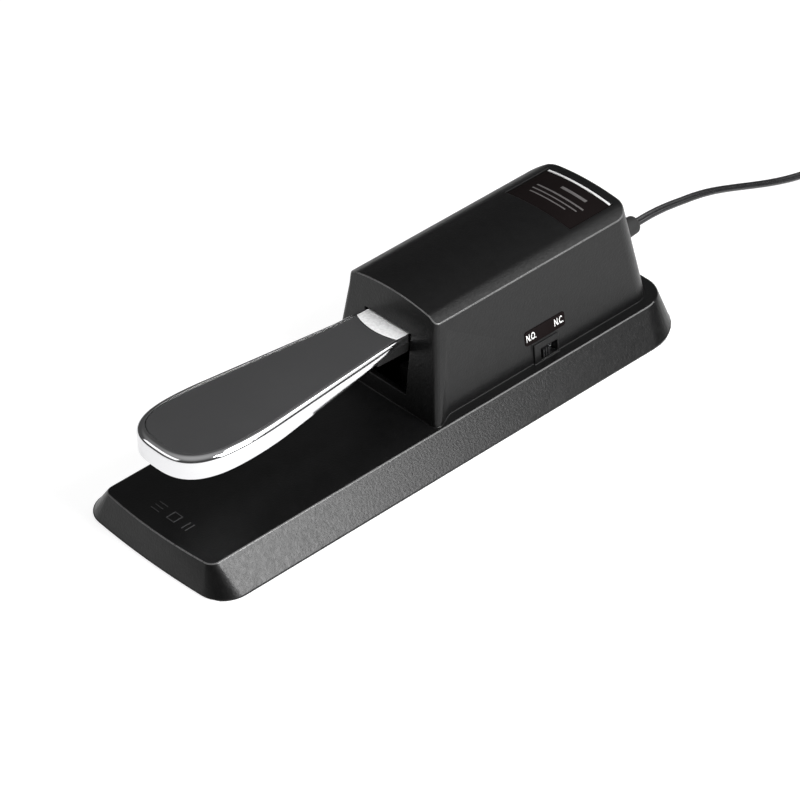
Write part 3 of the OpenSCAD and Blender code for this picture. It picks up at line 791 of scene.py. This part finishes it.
FINISHES = {
    "black_plastic": dict(base=(0.0035, 0.0035, 0.0036), rough=0.34, grain=1000, bump=1.0,
                          depth=0.08, var=0.15, blotch=160, rough_var=0.05, specular=0.27),
    # lighter grey for the housing's rolled edges: a painted highlight, not a colour of the plastic
    "edge_highlight_plastic": dict(base=(0.075, 0.075, 0.075), rough=0.3, grain=1500, bump=0.3, depth=0.05,
                         var=0.2, blotch=300, specular=0.6),
    "arm_plastic": dict(base=(0.006, 0.006, 0.006), rough=0.5, grain=1500, bump=0.8, depth=0.08,
                        var=0.15, specular=0.25),
    "plate_steel": dict(base=(0.50, 0.51, 0.52), rough=0.36, metal=1.0, grain=700, bump=0.12,
                        var=0.08, stretch=(1, 6, 1)),
    "black_rubber": dict(base=(0.018, 0.018, 0.018), rough=0.72, grain=1100, bump=0.5, depth=0.1,
                         var=0.2, specular=0.35),
    "screw_steel": dict(base=(0.46, 0.46, 0.47), rough=0.32, metal=1.0, grain=1600, bump=0.15,
                        var=0.1),
    "lever_chrome": dict(base=(0.72, 0.72, 0.73), rough=0.1, metal=1.0, grain=600, bump=0.02,
                         depth=0.02, var=0.03, blotch=30, rough_var=0.03),
    "neck_metal": dict(base=(0.84, 0.84, 0.84), rough=0.5, metal=0.25, grain=1100, bump=0.5,
                       depth=0.06, var=0.13, blotch=900),
    "trim_silver": dict(base=(0.62, 0.62, 0.62), rough=0.5, metal=0.2, grain=1500, bump=0.2,
                        depth=0.03, var=0.05, blotch=200),
    "side_label": dict(base=(0.006, 0.0042, 0.0042), rough=0.65, grain=1800, bump=0.1, var=0.15,
                       blotch=120, specular=0.03),
    "inlay_plastic": dict(base=(0.036, 0.036, 0.037), rough=0.42, grain=2600, bump=0.12,
                          depth=0.03, var=0.05, blotch=20, rough_var=0.04),
    "pin_steel": dict(base=(0.58, 0.58, 0.59), rough=0.28, metal=1.0, grain=900, bump=0.1,
                      var=0.06, stretch=(1, 8, 8)),
    "natural_plastic": dict(base=(0.72, 0.70, 0.62), rough=0.45, grain=700, bump=0.1, var=0.05),
    "board_green": dict(base=(0.03, 0.17, 0.07), rough=0.3, grain=500, bump=0.12, var=0.18,
                        blotch=220, coat=0.2),
    "switch_plastic": dict(base=(0.008, 0.008, 0.0085), rough=0.38, grain=1600, bump=0.25,
                           var=0.15, specular=0.3),
    "plunger_red": dict(base=(0.5, 0.04, 0.035), rough=0.35, grain=900, bump=0.1, var=0.08),
    "label_dark": dict(base=(0.006, 0.0045, 0.0045), rough=0.6, grain=1800, bump=0.12, var=0.12,
                       blotch=90, specular=0.03),
    "label_print": dict(base=(0.80, 0.80, 0.79), rough=0.5, grain=2200, bump=0.1, var=0.06,
                        blotch=300),
    "roof_ink": dict(base=(0.09, 0.085, 0.085), rough=0.5, grain=2200, bump=0.1, var=0.1,
                     blotch=300),
    "wire_red": dict(base=(0.4, 0.035, 0.03), rough=0.42, grain=900, bump=0.1, var=0.1),
    "lead_sheath": dict(base=(0.012, 0.012, 0.013), rough=0.26, grain=1300, bump=0.15, var=0.18,
                        specular=0.6),
    "plug_metal": dict(base=(0.74, 0.73, 0.70), rough=0.16, metal=1.0, grain=800, bump=0.05,
                       var=0.04, stretch=(6, 1, 6)),
}
finishes = {name: finish_material(name, **settings) for name, settings in FINISHES.items()}


def paint(obj, *names):
    """Puts finishes on a piece; faces keep the number of the finish that they were given."""
    given = [p.material_index for p in obj.data.polygons]
    obj.data.materials.clear()
    for name in names:
        obj.data.materials.append(finishes[name])
    if len(names) > 1:
        for p, i in zip(obj.data.polygons, given):
            p.material_index = i


slots = {s["node"]: s["material_slot"] for s in frame["record"]["subparts"]}
for name, obj in nodes.items():
    paint(obj, slots[name])
# second finish: painted highlight on the rolled roof and rim edges
paint(housing, "black_plastic", "edge_highlight_plastic")
paint(arm, "arm_plastic")
paint(spoon, "lever_chrome", "neck_metal")
paint(inlay, "inlay_plastic")
paint(spring, "pin_steel")
paint(lead, "lead_sheath")
paint(plug_grip, "switch_plastic")
paint(coil_tie, "black_rubber")
paint(nodes["polarity_label"], "side_label")
for mark in marks:
    paint(mark, "label_print")
paint(roof_print, "roof_ink")
paint(roof_trim, "trim_silver")
# the lighter inlay grey on the raised marks is a painted highlight along their edges
paint(mould_marks, "inlay_plastic")

# carried-over CAD nodes and the width of their rolled edges in mm
EDGE_WIDTHS = (
    ("base_plate", 0.2), ("rubber_mat", 0.3), ("hinge_bracket", 0.25), ("bottom_screws", 0.15),
    ("shell_screws", 0.12), ("hinge_pin", 0.3), ("pin_clips", 0.1), ("bracket_rivets", 0.25),
    ("spring_cup", 0.25), ("up_stop_pad", 0.3), ("down_stop_block", 0.5), ("circuit_board", 0.12),
    ("board_spacers", 0.15), ("board_screws", 0.2), ("sense_switch", 0.25), ("sense_plunger", 0.2),
    ("polarity_switch", 0.2), ("polarity_knob", 0.15), ("strain_relief", 0.25),
    ("plug_sleeve", 0.15), ("plug_insulator", 0.1), ("plug_tip", 0.12))
for name, width in EDGE_WIDTHS:
    soften(name, width * MM)

# ---------------------------------------------------------------- floor and light
FLOOR_HALF = 6.0
floor_mesh = bpy.data.meshes.new("floor")
floor_mesh.from_pydata([(-FLOOR_HALF, -FLOOR_HALF, 0), (FLOOR_HALF, -FLOOR_HALF, 0),
                        (FLOOR_HALF, FLOOR_HALF, 0), (-FLOOR_HALF, FLOOR_HALF, 0)],
                       [], [[0, 1, 2, 3]])
floor = bpy.data.objects.new("floor", floor_mesh)
scene.collection.objects.link(floor)
floor_mat = finish_material("floor", (0.36, 0.36, 0.36), 0.8, grain=60, bump=0.02, var=0.01,
                            blotch=2, specular=0.2)
floor_shader = floor_mat.node_tree.nodes["Principled BSDF"]
floor_shader.inputs["Emission Color"].default_value = (1, 1, 1, 1)
floor_shader.inputs["Emission Strength"].default_value = 0.8
floor_mesh.materials.append(floor_mat)


def softbox(name, at, aim, size, radiance):
    """Area light whose power gives the same brightness at any size."""
    light = bpy.data.lights.new(name, "AREA")
    light.shape = "RECTANGLE"
    light.size, light.size_y = size
    light.energy = radiance * math.pi * size[0] * size[1]
    light.spread = math.pi
    obj = bpy.data.objects.new(name, light)
    at = Vector(at)
    turn = (at - Vector(aim)).to_track_quat("Z", "Y")
    obj.matrix_world = Matrix.Translation(at) @ turn.to_matrix().to_4x4()
    obj.visible_camera = False
    scene.collection.objects.link(obj)


softbox("key", (0.24, 0.72, 1.22), (0, 0, 0), (0.5, 0.5), 5.0)
softbox("side", (0.37, 0.068, 0.305), (0.02, -0.06, 0.02), (0.21, 0.25), 23.0)
softbox("front", (-0.42, -0.76, 0.62), (0, 0, 0), (1.05, 0.42), 1.5)
softbox("rear", (0.35, 1.0, 0.75), (0, 0.12, 0.02), (0.4, 0.4), 2.0)
softbox("shoulder", (0.66, 0.58, 0.72), (0, -0.06, 0.03), (0.42, 0.42), 1.6)

# pale surroundings, brighter towards the top
world = bpy.data.worlds.new("world")
world.use_nodes = True
sky = world.node_tree
sky.nodes["Background"].inputs["Color"].default_value = (1, 1, 1, 1)
sky_coord = node(sky, "ShaderNodeTexCoord")
sky_split = node(sky, "ShaderNodeSeparateXYZ")
sky_range = node(sky, "ShaderNodeMapRange")
sky_range.inputs["From Min"].default_value = 0.55
sky_range.inputs["From Max"].default_value = 1.0
sky_range.inputs["To Min"].default_value = 0.075
sky_range.inputs["To Max"].default_value = 0.45
sky.links.new(sky_coord.outputs["Generated"], sky_split.inputs[0])
sky.links.new(sky_split.outputs["Z"], sky_range.inputs["Value"])
sky.links.new(sky_range.outputs["Result"], sky.nodes["Background"].inputs["Strength"])
scene.world = world
scene.view_settings.view_transform = "Standard"
